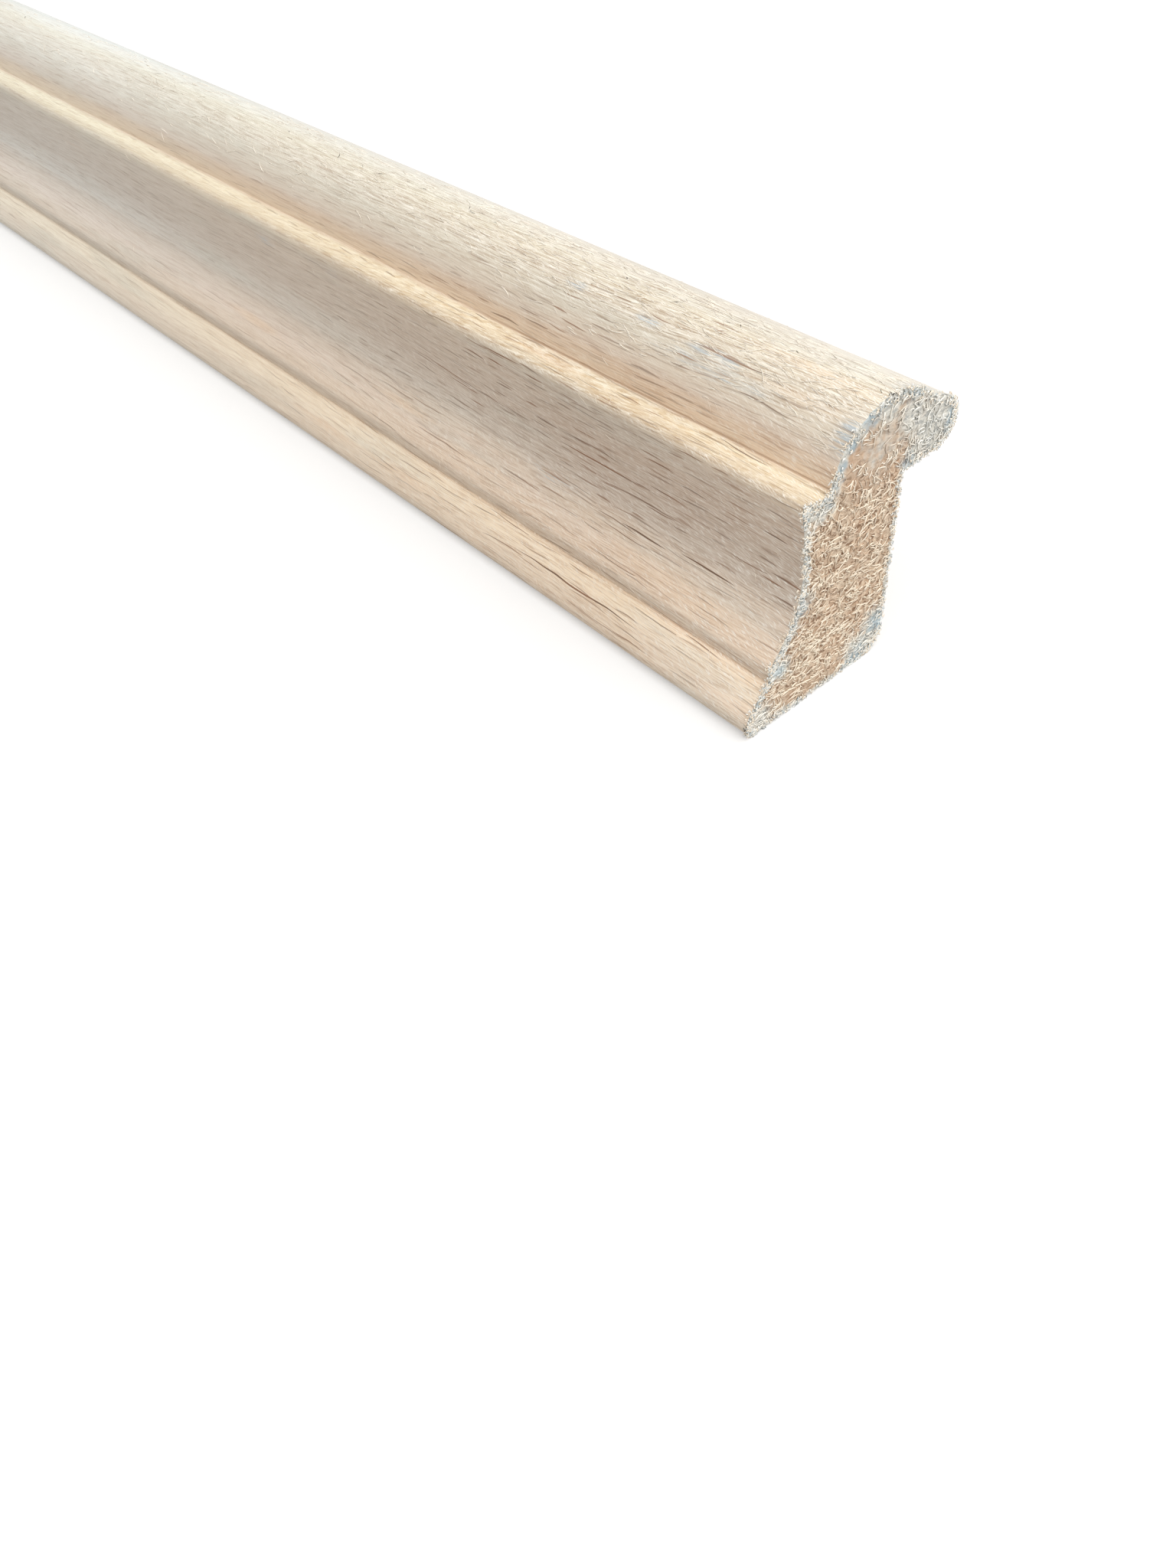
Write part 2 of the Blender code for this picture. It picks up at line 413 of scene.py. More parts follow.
def girths(loop):
    """Distance along the outline from its first point, with the whole girth as the last value."""
    steps = np.linalg.norm(np.roll(loop, -1, axis=0) - loop, axis=1)
    return np.concatenate([[0], np.cumsum(steps)])


def normals(loop):
    """Outward unit normals at the outline's points."""
    along = np.roll(loop, -1, axis=0) - np.roll(loop, 1, axis=0)
    out = np.stack([along[:, 1], -along[:, 0]], axis=1)
    return out / np.linalg.norm(out, axis=1)[:, None]


def turns(loop):
    """How sharply the outline turns at each point, in radians; outward corners are positive."""
    before = loop - np.roll(loop, 1, axis=0)
    after = np.roll(loop, -1, axis=0) - loop
    cross = before[:, 0] * after[:, 1] - before[:, 1] * after[:, 0]
    return np.arctan2(cross, np.sum(before * after, axis=1))


def stations(low, high):
    """Places along the length, close together at both ends and ever wider towards the middle."""
    half = (high - low) / 2
    steps = [END_STEP]
    while sum(steps) < half:
        steps.append(min(steps[-1] * STEP_GROWTH, LONG_STEP))
    away = np.concatenate([[0], np.cumsum(steps)]) * half / sum(steps)
    return np.concatenate([low + away[:-1], (high - away)[::-1]])


def from_section(places):
    """Section places in millimetres as (y, z) in the frame."""
    return np.asarray(places) * MM + SECTION_ORIGIN


def to_section(points):
    """Frame points (y, z) as section places in millimetres."""
    return (np.asarray(points) - SECTION_ORIGIN) / MM


def rim_distance(points, loop):
    """Distance of each point (y, z) from the outline."""
    best = np.full(len(points), np.inf)
    for start, end in zip(loop, np.roll(loop, -1, axis=0)):
        span = end - start
        t = np.clip(((points - start) @ span) / max(span @ span, 1e-18), 0, 1)
        near = start + t[:, None] * span
        best = np.minimum(best, np.linalg.norm(points - near, axis=1))
    return best


def inside(points, loop):
    """True for each point (y, z) inside the outline."""
    y, z = points[:, 0], points[:, 1]
    hit = np.zeros(len(points), bool)
    for (ay, az), (by, bz) in zip(loop, np.roll(loop, -1, axis=0)):
        if az == bz:
            continue
        crosses = (az > z) != (bz > z)
        hit ^= crosses & (y < ay + (z - az) / (bz - az) * (by - ay))
    return hit


def noise_at(points, size, seed):
    """Smooth noise from -1 to 1 at each point; size is the length of its waves, one for each axis."""
    scaled = np.asarray(points) / np.asarray(size) + seed
    return np.array([noise.noise(Vector(p)) for p in scaled])


# Node graphs

class Graph:
    """The nodes of a material or a world, with short calls for them; a colour is (red, green, blue)."""

    def __init__(self, owner, shader="Principled BSDF"):
        owner.use_nodes = True
        self.owner = owner
        self.tree = owner.node_tree
        self.shader = self.tree.nodes[shader]

    def add(self, kind, **settings):
        made = self.tree.nodes.new(kind)
        made.location.x = -NODE_STEP * len(self.tree.nodes)
        for name, value in settings.items():
            setattr(made, name, value)
        return made

    def put(self, socket, value):
        if isinstance(value, bpy.types.NodeSocket):
            self.tree.links.new(value, socket)
        elif socket.type == "RGBA":
            socket.default_value = (*value, 1)
        else:
            socket.default_value = value

    def fill(self, made, *values):
        for socket, value in zip(made.inputs, values):
            self.put(socket, value)
        return made.outputs[0]

    def feed(self, made, **values):
        for name, value in values.items():
            self.put(made.inputs[name], value)
        return made.outputs

    def math(self, operation, *values, clamp=False):
        return self.fill(self.add("ShaderNodeMath", operation=operation, use_clamp=clamp), *values)

    def plus(self, a, b):
        return self.math("ADD", a, b)

    def minus(self, a, b, clamp=False):
        return self.math("SUBTRACT", a, b, clamp=clamp)

    def times(self, first, *others):
        for other in others:
            first = self.math("MULTIPLY", first, other)
        return first

    def largest(self, first, *others):
        for other in others:
            first = self.math("MAXIMUM", first, other)
        return first

    def scaled(self, value, factor, offset):
        return self.math("MULTIPLY_ADD", value, factor, offset)

    def swing(self, share, reach):
        """A share from 0 to 1, turned to a value from minus the reach to plus the reach."""
        return self.scaled(share, 2 * reach, -reach)

    def gap(self, a, b):
        """How far apart two values are."""
        return self.math("ABSOLUTE", self.minus(a, b))

    def vector(self, operation, *values):
        return self.fill(self.add("ShaderNodeVectorMath", operation=operation), *values)

    def shifted(self, vector, step, seed):
        """A vector moved by one step for each count of the seed, so that no two patterns are alike."""
        return self.vector("ADD", vector, [seed * part for part in step])

    def split(self, vector):
        made = self.add("ShaderNodeSeparateXYZ")
        self.put(made.inputs[0], vector)
        return made.outputs

    def join(self, x, y, z=0):
        return self.fill(self.add("ShaderNodeCombineXYZ"), x, y, z)

    def attribute(self, name, output="Fac"):
        return self.add("ShaderNodeAttribute", attribute_name=name).outputs[output]

    def noise(self, vector, size, detail=2, output="Fac"):
        """Smooth noise; size is the length of its waves, one for each axis."""
        stretched = self.vector("DIVIDE", vector, size)
        made = self.add("ShaderNodeTexNoise", noise_dimensions="3D")
        return self.feed(made, Vector=stretched, Scale=1, Detail=detail)[output]

    def voronoi(self, vector, randomness):
        made = self.add("ShaderNodeTexVoronoi", voronoi_dimensions="2D", feature="F1")
        return self.feed(made, Vector=vector, Scale=1, Randomness=randomness)

    def span(self, value, low, high, to_low=0, to_high=1, smooth=True):
        """A value from low to high, taken to one from to_low to to_high and held there."""
        kind = "SMOOTHSTEP" if smooth else "LINEAR"
        made = self.add("ShaderNodeMapRange", interpolation_type=kind)
        return self.fill(made, value, low, high, to_low, to_high)

    def mix(self, factor, a, b, blend="MIX"):
        # Inputs 6 and 7 and output 2 are the node's own colour sockets.
        made = self.add("ShaderNodeMix", data_type="RGBA", blend_type=blend)
        self.put(made.inputs["Factor"], factor)
        self.put(made.inputs[6], a)
        self.put(made.inputs[7], b)
        return made.outputs[2]

    def tinted(self, factor, tone, tint):
        return self.mix(factor, tone, tint, "MULTIPLY")

    def ramp(self, value, stops):
        made = self.add("ShaderNodeValToRGB")
        self.put(made.inputs[0], value)
        elements = made.color_ramp.elements
        while len(elements) < len(stops):
            elements.new(0.5)
        for element, (place, colour) in zip(elements, stops):
            element.position = place
            element.color = (*colour, 1)
        return made.outputs[0]

    def bump(self, height, strength, distance):
        made = self.add("ShaderNodeBump")
        self.feed(made, Strength=strength, Distance=distance, Height=height)
        self.put(self.shader.inputs["Normal"], made.outputs[0])

    def finish(self, colour, roughness, specular):
        self.put(self.shader.inputs["Base Color"], colour)
        self.put(self.shader.inputs["Roughness"], roughness)
        self.put(self.shader.inputs["Specular IOR Level"], specular)
        return self.owner


def streaks(g, grain, kind):
    """Noise drawn out along the grain, of one of the kinds in STREAKS."""
    length, width, detail, slant, seed = STREAKS[kind]
    x, s, _ = g.split(grain)
    if slant:
        s = g.plus(s, g.times(x, slant))
    return g.noise(g.shifted(g.join(x, s), STREAK_SHIFT, seed), (length, width, 1), detail)


def flecks(g, grain, kind):
    """Ray flecks of one kind: spindles along the grain, tapered, tilted and a little bent."""
    cell, half_length, half_width, share, seed = FLECKS[kind]
    scaled = g.vector("DIVIDE", g.shifted(grain, FLECK_SHIFT, seed), (*cell, 1))
    found = g.voronoi(scaled, 0.8)
    off = g.vector("MULTIPLY", g.vector("SUBTRACT", scaled, found["Position"]), (*cell, 1))
    along, across, _ = g.split(off)
    # A cell's colour gives three random values from 0 to 1, and their multiples give two more.
    red, green, blue = g.split(found["Color"])
    another, kept = (g.math("FRACT", g.times(a, b)) for a, b in ((red, 5.17), (green, 7.31)))
    half = g.span(red, 0, 1, half_length * 0.35, half_length, smooth=False)
    size = g.span(blue, 0, 1, half_width * 0.5, half_width, smooth=False)
    strong = g.span(another, 0, 1, 0.4, 1, smooth=False)
    place = g.math("DIVIDE", along, half)
    squared = g.times(place, place)
    tilt = g.scaled(green, 0.08, -0.02)
    bend = g.times(half, g.swing(blue, 0.05))
    line = g.plus(g.times(along, tilt), g.times(squared, bend))
    body = spindle(g, g.gap(across, line), g.minus(1, squared, clamp=True), size)
    return g.times(body, g.math("LESS_THAN", kept, share), strong)


def spindle(g, aside, taper, half_width):
    """A soft-edged line as wide as its taper allows, from the distance to its middle."""
    width = g.scaled(taper, half_width, 0.008)
    body = g.span(g.math("DIVIDE", aside, width), 0.5, 1.3, 1, 0)
    return g.times(body, g.math("GREATER_THAN", taper, 0))


def drawn_flecks(g, x, s, back, girth):
    """The long flecks of LONG_FLECKS, each swaying a little across the grain."""
    drawn = []
    for start, end, place, sway in LONG_FLECKS:
        along = g.span(back, start, end, smooth=False)
        taper = g.times(along, g.minus(1, along), 4)
        swing = g.noise(g.join(x, start), (6, 1, 1), 1)
        line = g.scaled(swing, sway * 2, girth(place) - sway)
        drawn.append(spindle(g, g.gap(s, line), taper, LONG_FLECK_HALF_WIDTH))
    return g.largest(*drawn)


def within(g, value, low, high, soft):
    """1 where a value lies from low to high, falling to 0 over a soft margin outside."""
    return g.times(g.span(value, low - soft, low), g.span(value, high, high + soft, 1, 0))


# Materials

def girth_finder(loop, around):
    """A call that gives the girth, in millimetres, of the outline's point nearest to a section place."""
    def girth(place):
        nearest = np.argmin(np.linalg.norm(loop - from_section(place), axis=1))
        return around[nearest] / MM
    return girth


def wandering_grain(g, raw, x, s):
    """Place along and across the grain, which wanders a little over the planed faces."""
    wander = g.noise(raw, (60, 16, 1), 1)
    waver = g.noise(raw, (3.2, 1.6, 1), 1)
    return g.join(x, g.plus(s, g.plus(g.swing(wander, 1.3), g.swing(waver, 0.12))))


def broad_tone(g, raw, s, back, girth, whole):
    """Colour by place on the section, with its slow change along the length; the painted highlight over the
    crest and the painted reflected light low on the nose come in with it.
    """
    soft = g.swing(g.noise(raw, (7, 0.5, 1)), 0.15)
    stops = [(girth(place) / whole, colour) for place, colour in TONES]
    stops.sort(key=lambda stop: stop[0])
    tone = g.ramp(g.math("DIVIDE", g.plus(s, soft), whole), stops)
    for start, full, tint in TONE_DRIFTS:
        tone = g.tinted(g.span(back, start, full), tone, tint)
    unseen = g.span(back, *FADES["unseen"])
    slow = g.noise(raw, (130, 60, 1), 1)
    tone = g.tinted(g.times(g.span(slow, 0.4, 0.6), unseen), tone, WARM_TINT)
    grey = g.times(g.span(back, *FADES["grey"]), g.minus(1, unseen))
    tone = g.tinted(grey, tone, GREY_TINT)
    for first, last, near, far, soft, tint in PALE_STRETCHES:
        pale = g.times(within(g, s, girth(first), girth(last), 1.2), within(g, back, near, far, soft))
        tone = g.tinted(pale, tone, tint)
    return tone


def soft_marks(g, grain, tone):
    """Slow bands and patches in the colour, the peach marks and the blue-grey ones."""
    patch = streaks(g, grain, "patch")
    tone = g.mix(g.span(patch, 0.5, 0.72, 0, 0.35), tone, PATCH)
    peach = g.plus(g.attribute("peach"), g.swing(streaks(g, grain, "blush"), 0.5))
    tone = g.mix(g.span(peach, 0, 1, 0, 0.6), tone, PEACH)
    band = streaks(g, grain, "band")
    tone = g.tinted(g.span(band, 0.35, 0.7, 0, 0.3), tone, BAND_TINT)
    wisp = g.swing(streaks(g, grain, "wisp"), 2)
    cool = g.times(g.attribute("cool"), g.plus(wisp, 0.75))
    return g.mix(g.span(cool, 0.1, 0.9, 0, 0.85), tone, COOL)


def fibre_streaks(g, grain, tone, combed, front, ragged, crisp):
    """Fine dark and pale fibres along the grain; returns the tone and their relief."""
    medium = streaks(g, grain, "medium")
    tone = g.tinted(g.span(medium, 0.46, 0.62, 0, 0.3), tone, MEDIUM_TINT)
    fine = streaks(g, grain, "fine")
    shade = g.times(g.scaled(front, 0.2, 0.36), crisp)
    shade = g.times(g.span(fine, 0.46, 0.64), g.scaled(combed, 0.52, shade))
    tone = g.tinted(shade, tone, FINE_TINT)
    bright = streaks(g, grain, "bright")
    shine = g.scaled(crisp, 0.2, g.times(combed, 0.45))
    tone = g.mix(g.times(g.span(bright, 0.5, 0.66), shine), tone, BRIGHT)
    fuzz = streaks(g, grain, "fuzz")
    down = g.times(g.scaled(front, 0.2, 0.2), crisp)
    down = g.scaled(ragged, 0.28, g.scaled(combed, 0.3, down))
    tone = g.mix(g.times(g.span(fuzz, 0.52, 0.68), down), tone, FUZZ)
    relief = g.scaled(fine, 0.8, g.times(medium, 0.5))
    return tone, g.plus(relief, g.times(g.plus(bright, fuzz), 0.6))


def ledge_nap(g, grain, tone, on_ledge):
    """The ledge's soft nap, darker and paler than the timber round it."""
    nap = streaks(g, grain, "nap")
    tone = g.tinted(g.times(g.span(nap, 0.48, 0.66), on_ledge), tone, NAP_TINT)
    return g.mix(g.times(g.span(nap, 0.34, 0.46, 0.4, 0), on_ledge), tone, NAP)


def ray_flecks(g, grain, x, s, back, girth):
    """The strong ray flecks: short, slim and long ones; the lower cove and the bead have more slim ones."""
    crowd = g.span(g.noise(grain, (18, 5, 1), 1), 0.38, 0.58, 0.7, 1)
    below, ledge = girth(LOWER_COVE), girth(LEDGE_INSIDE)
    lower = g.span(s, below - 2, below + 1.5)
    clear = g.largest(g.span(back, *FADES["flecks"]), g.span(s, ledge - 1, ledge + 4))
    short = g.times(flecks(g, grain, "short"), clear, g.scaled(lower, -0.85, 1))
    slim = g.times(flecks(g, grain, "slim"), g.scaled(lower, 0.45, 0.45))
    strewn = g.times(g.largest(short, slim, flecks(g, grain, "long")), crowd)
    return g.largest(strewn, drawn_flecks(g, x, s, back, girth))


def timber_material(loop, around):
    """Bare planed beech: tone by place on the section, bands, fibres, ray flecks and pale fuzz."""
    g = Graph(bpy.data.materials.new("planed_beech"))
    girth = girth_finder(loop, around)
    raw = g.vector("MULTIPLY", g.attribute("grain", "Vector"), (1 / MM, 1 / MM, 0))
    x, s, _ = g.split(raw)
    back = g.minus(NEAR_END / MM, x)
    grain = wandering_grain(g, raw, x, s)
    tone = soft_marks(g, grain, broad_tone(g, raw, s, back, girth, around[-1] / MM))

    inner, arris = girth(LEDGE_INSIDE), girth(LEDGE_ARRIS)
    combed = g.span(g.gap(s, girth(CREST)), 2.5, 6.5, 1, 0)
    combed = g.times(combed, g.span(back, *FADES["combed"]))
    front = g.span(s, inner - 0.8, inner + 0.2)
    ragged = g.span(back, *FADES["ragged"])
    crisp = g.span(back, *FADES["crisp"])
    tone, relief = fibre_streaks(g, grain, tone, combed, front, ragged, crisp)
    on_ledge = g.times(within(g, s, inner, arris, 0.3), crisp, g.span(back, *FADES["ledge"]))
    tone = ledge_nap(g, grain, tone, on_ledge)

    rust = g.noise(grain, (9, 2.5, 1), 1)
    dark = g.mix(g.span(rust, 0.45, 0.6), FLECK, RUSTY_FLECK)
    tone = g.mix(g.times(flecks(g, grain, "faint"), crisp, 0.3), tone, dark)
    strong = ray_flecks(g, grain, x, s, back, girth)
    tone = g.mix(g.times(strong, crisp, g.scaled(front, 0.2, 0.75)), tone, dark)

    # A thin line of painted shade along the valley's crease, fading out away from the near end
    valley_shade_mask = g.span(g.gap(s, girth(VALLEY)), 0.05, 0.16, 1, 0)
    tone = g.mix(g.times(valley_shade_mask, g.span(back, *FADES["valley"])), tone, VALLEY_SHADE)
    g.bump(g.scaled(strong, -0.5, relief), 0.6, 0.06 * MM)
    return g.finish(tone, g.span(relief, 0.8, 1.6, 0.56, 0.7), 0.3)


def end_place(g):
    """Place on the section in millimetres, as a vector for noise, and the same curled up by finer noise."""
    place = g.add("ShaderNodeTexCoord").outputs["Object"]
    flat = g.vector("MULTIPLY", place, (0, 1 / MM, 1 / MM))
    warp = g.noise(flat, (0.9, 0.9, 0.9), output="Color")
    shift = g.vector("MULTIPLY", g.vector("SUBTRACT", warp, (0.5, 0.5, 0.5)), (0, 0.8, 0.8))
    return flat, g.vector("ADD", flat, shift)


def thread_lines(g, curled):
    """Pale curled lines where smooth noise passes through its middle value."""
    lines = []
    for size, seed in ((0.8, 1), (1.2, 3)):
        turned = g.add("ShaderNodeVectorRotate", rotation_type="X_AXIS")
        g.feed(turned, Vector=g.shifted(curled, THREAD_SHIFT, seed), Angle=THREAD_TURN)
        swirl = g.noise(turned.outputs[0], (size, size * 1.8, size * 0.8), 0)
        lines.append(g.span(g.gap(swirl, 0.5), 0.01, 0.07, 0.45, 0))
    return g.largest(*lines)


def sawn_material():
    """Sawn end grain: warm tan pitted timber under pale curled fibres, with painted shade in its hollows,
    grey and blue-grey where stained.
    """
    g = Graph(bpy.data.materials.new("sawn_end_grain"))
    flat, curled = end_place(g)
    calm = g.span(g.attribute("calm"), 0, 0.8, 1, 0.35)
    threads = g.times(thread_lines(g, curled), calm)
    broad = g.noise(flat, (3.5, 3.5, 3.5), 3)
    tone = g.mix(g.span(broad, 0.35, 0.65), *SAWN_TONES)
    coarse = g.noise(curled, (0.55, 0.85, 0.42))
    # Painted shade where the coarse relief sinks, between the torn fibres
    gap_shade = g.times(g.span(coarse, 0.48, 0.6, 0, 0.92), calm)
    tone = g.mix(gap_shade, tone, SAWN_GAP_SHADE)
    tone = g.mix(threads, tone, SAWN_THREAD)

    blotch = g.swing(g.noise(flat, (1, 1, 1), 4), 0.6)
    grey = g.mix(threads, GREY_SAWN, GREY_THREAD)
    grey = g.mix(g.times(gap_shade, 0.75), grey, GREY_GAP_SHADE)
    stained = g.plus(g.attribute("stain"), blotch)
    tone = g.mix(g.span(stained, 0.15, 0.8, 0, 0.9), tone, grey)
    blue = g.mix(threads, BLUE_SAWN, BLUE_THREAD)
    chilled = g.plus(g.attribute("blue"), blotch)
    tone = g.mix(g.span(chilled, 0.25, 0.95, 0, 0.85), tone, blue)
    tone = g.mix(g.times(g.attribute("pits"), 0.75), tone, PIT)

    g.bump(g.minus(g.times(threads, 1.2), coarse), 0.7, 0.12 * MM)
    return g.finish(tone, 0.85, 0.2)


def fibre_material():
    """Loose fibres: each has its own paleness; those from stained timber are greyer, and some bluer."""
    g = Graph(bpy.data.materials.new("loose_fibre"))
    pale = g.attribute("pale")
    warm = g.mix(pale, *WARM_FIBRES)
    grey = g.mix(pale, *GREY_FIBRES)
    tone = g.mix(g.attribute("stain"), warm, grey)
    blue = g.mix(pale, *BLUE_FIBRES)
    return g.finish(g.mix(g.attribute("blue"), tone, blue), 0.8, 0.2)


# Timber

def spots_at(places, spots):
    """The strongest of the soft round spots at each section place."""
    strength = np.zeros(len(places))
    for centre, radius, most in spots:
        away = np.linalg.norm(places - centre, axis=1) / radius
        strength = np.maximum(strength, most * np.clip(1.3 - away, 0, 1))
    return strength


def stains(points, loop):
    """How grey and how blue the sawn end is at each point (y, z): its rim, the lip, and a few spots."""
    places = to_section(points)
    rim = rim_distance(points, loop) / MM
    front = np.clip((9.5 - places[:, 0]) / 3, 0, 1)
    drift = noise_at(np.column_stack([places, np.zeros(len(places))]), (1.8, 1.8, 1), 5.3)
    reach = (0.6 + 0.45 * front + 0.8 * (places[:, 1] > 22)) * (1 + 0.7 * drift)
    grey = np.clip(1.2 - rim / reach, 0, 1)
    grey = np.maximum(grey, spots_at(places, GREY_SPOTS))
    blue = (0.9 * drift - 0.1) * np.clip(1.1 - rim / 0.7, 0, 1)
    return grey, np.maximum(np.clip(blue, 0, 1), spots_at(places, BLUE_SPOTS))


def side_marks(xs, loop, around, marks):
    """Strength of the marks at each point of each ring."""
    back = (NEAR_END - np.repeat(xs, len(loop))) / MM
    round_it = np.tile(around[:-1], len(xs)) / MM
    girth = girth_finder(loop, around)
    strength = np.zeros(len(back))
    for away, place, half_length, half_girth, most in marks:
        off = np.hypot((back - away) / half_length, (round_it - girth(place)) / half_girth)
        strength = np.maximum(strength, most * np.clip(1.4 - off, 0, 1))
    return strength


def cap_mesh(loop, rng):
    """Points (y, z) and triangles that fill the outline, with a fine uneven grid inside."""
    low, high = loop.min(axis=0), loop.max(axis=0)
    ys = np.arange(low[0], high[0], END_CELL)
    zs = np.arange(low[1], high[1], END_CELL)
    grid = np.array([(y, z) for y in ys for z in zs])
    grid = grid + rng.uniform(-CELL_SHIFT, CELL_SHIFT, grid.shape) * END_CELL
    grid = grid[inside(grid, loop)]
    grid = grid[rim_distance(grid, loop) > CELL_MARGIN * END_CELL]
    points = [Vector(p) for p in np.vstack([loop, grid])]
    border = [(i, (i + 1) % len(loop)) for i in range(len(loop))]
    made = geometry.delaunay_2d_cdt(points, border, [], 1, 1e-9)
    return np.array([tuple(p) for p in made[0]]), [tuple(face) for face in made[2]]


def sawn_relief(points, loop, seed):
    """Depth of the sawn face below its top at each (y, z), with torn fibre, saw lines and pits."""
    flat = np.column_stack([points, np.zeros(len(points))])
    tear = noise_at(flat, (0.9 * MM, 0.5 * MM, 1), seed)
    tuft = noise_at(flat, (0.42 * MM, 0.3 * MM, 1), seed + 7)
    swell = noise_at(flat, (5 * MM, 5 * MM, 1), seed + 13)
    places = to_section(points)
    saw = np.sin((places[:, 1] + 0.2 * places[:, 0] + 0.5 * swell) * 2 * math.pi / SAW_PITCH)
    depth = 0.5 - tear * 0.4 - tuft * 0.4 + saw * 0.1
    pits = spots_at(places, [(centre, radius, 1.0) for centre, radius in PITS])
    rim = np.clip(rim_distance(points, loop) / (0.4 * MM), 0.4, 1)
    return (np.clip(depth, 0, 1) * END_RELIEF + pits * PIT_DEPTH) * rim, pits


def side_rings(loop, xs, rng):
    """One ring of points for each station: the outline, worn at its arrises and frayed at both ends."""
    out = normals(loop)
    worn = np.clip(turns(loop) / 0.5, 0, 1)
    worn = np.maximum(worn, 0.6 * np.maximum(np.roll(worn, 1), np.roll(worn, -1)))
    rings = []
    for i, x in enumerate(xs):
        spots = np.column_stack([np.full(len(loop), x), loop])
        wave = noise_at(spots, (30 * MM, 6 * MM, 6 * MM), 3.1)
        nick = noise_at(spots, (2.2 * MM, 2 * MM, 2 * MM), 9.7)
        inset = FACE_WAVE * (0.5 + 0.5 * wave) + worn * ARRIS_WEAR * np.clip(0.35 + nick, 0, 1.3)
        fray = np.zeros(len(loop))
        if i in (0, len(xs) - 1):
            fray = rng.uniform(0, END_FRAY, len(loop)) * (1 if i == 0 else -1)
            inset = inset + rng.uniform(0, END_NICK, len(loop))
        ring = loop - out * inset[:, None]
        ring[:, 1] = np.maximum(ring[:, 1], CAD_BOX[0][2])
        rings.append(np.column_stack([x + fray, ring]))
    return np.vstack(rings)


def side_faces(xs, around):
    """Quads between neighbouring rings, and (x, girth) for each of their corners."""
    count = len(around) - 1
    faces, grain = [], []
    for i in range(len(xs) - 1):
        for j in range(count):
            a, b, k = i * count, (i + 1) * count, (j + 1) % count
            faces.append((a + j, b + j, b + k, a + k))
            grain += [(xs[i], around[j]), (xs[i + 1], around[j])]
            grain += [(xs[i + 1], around[j + 1]), (xs[i], around[j + 1])]
    return faces, grain


def timber_mesh(loop, around):
    """The whole length as one closed mesh: long faces in rings, and a torn sawn face at each end."""
    rng = np.random.default_rng(SEED)
    xs = stations(FAR_END + END_RECESS, NEAR_END - END_RECESS)
    count = len(loop)
    parts = [side_rings(loop, xs, rng)]
    faces, grain = side_faces(xs, around)
    side_count = len(faces)
    marks = {name: [np.zeros(len(parts[0]))] for name in ("stain", "blue", "pits", "calm")}
    marks["peach"] = [side_marks(xs, loop, around, PEACH_MARKS)]
    marks["cool"] = [side_marks(xs, loop, around, COOL_MARKS)]
    total = len(parts[0])
    for start, x, sign in (((len(xs) - 1) * count, xs[-1], 1), (0, xs[0], -1)):
        edge = parts[0][start:start + count, 1:]
        places, triangles = cap_mesh(edge, rng)
        fresh = places[count:]
        depth, pits = sawn_relief(fresh, loop, RELIEF_SEED + sign)
        parts.append(np.column_stack([x + sign * (END_RECESS - END_CLEARANCE - depth), fresh]))
        grey, blue = stains(places, loop)
        calm = spots_at(to_section(places), CALM_SPOTS)
        pits = np.concatenate([np.zeros(count), pits])
        for name in ("peach", "cool"):
            marks[name].append(np.zeros(len(fresh)))
        for name, values in (("stain", grey), ("blue", blue), ("pits", pits), ("calm", calm)):
            marks[name][0][start:start + count] = values[:count]
            marks[name].append(values[count:])
        for face in triangles:
            ids = [start + v if v < count else total + v - count for v in face]
            faces.append(tuple(ids if sign > 0 else ids[::-1]))
            grain += [(x, 0.0)] * 3
        total += len(fresh)
    mesh = bpy.data.meshes.new("moulding_timber")
    mesh.from_pydata(np.vstack(parts).tolist(), [], faces)
    mesh.polygons.foreach_set("material_index", [0] * side_count + [1] * (len(faces) - side_count))
    layer = mesh.attributes.new("grain", "FLOAT_VECTOR", "CORNER")
    flat = np.column_stack([np.array(grain), np.zeros(len(grain))])
    layer.data.foreach_set("vector", flat.astype(np.float32).ravel())
    for name, values in marks.items():
        add_values(mesh, name, np.concatenate(values))
    mesh.shade_smooth()
    mesh.set_sharp_from_angle(angle=SHARP_ANGLE)
    return mesh


def add_values(mesh, name, values):
    layer = mesh.attributes.new(name, "FLOAT", "POINT")
    layer.data.foreach_set("value", np.asarray(values, np.float32))


def linked(name, data):
    made = bpy.data.objects.new(name, data)
    bpy.context.scene.collection.objects.link(made)
    return made


def placed(name, mesh):
    piece = linked(name, mesh)
    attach(piece, BODY)
    return piece


# Loose fibres

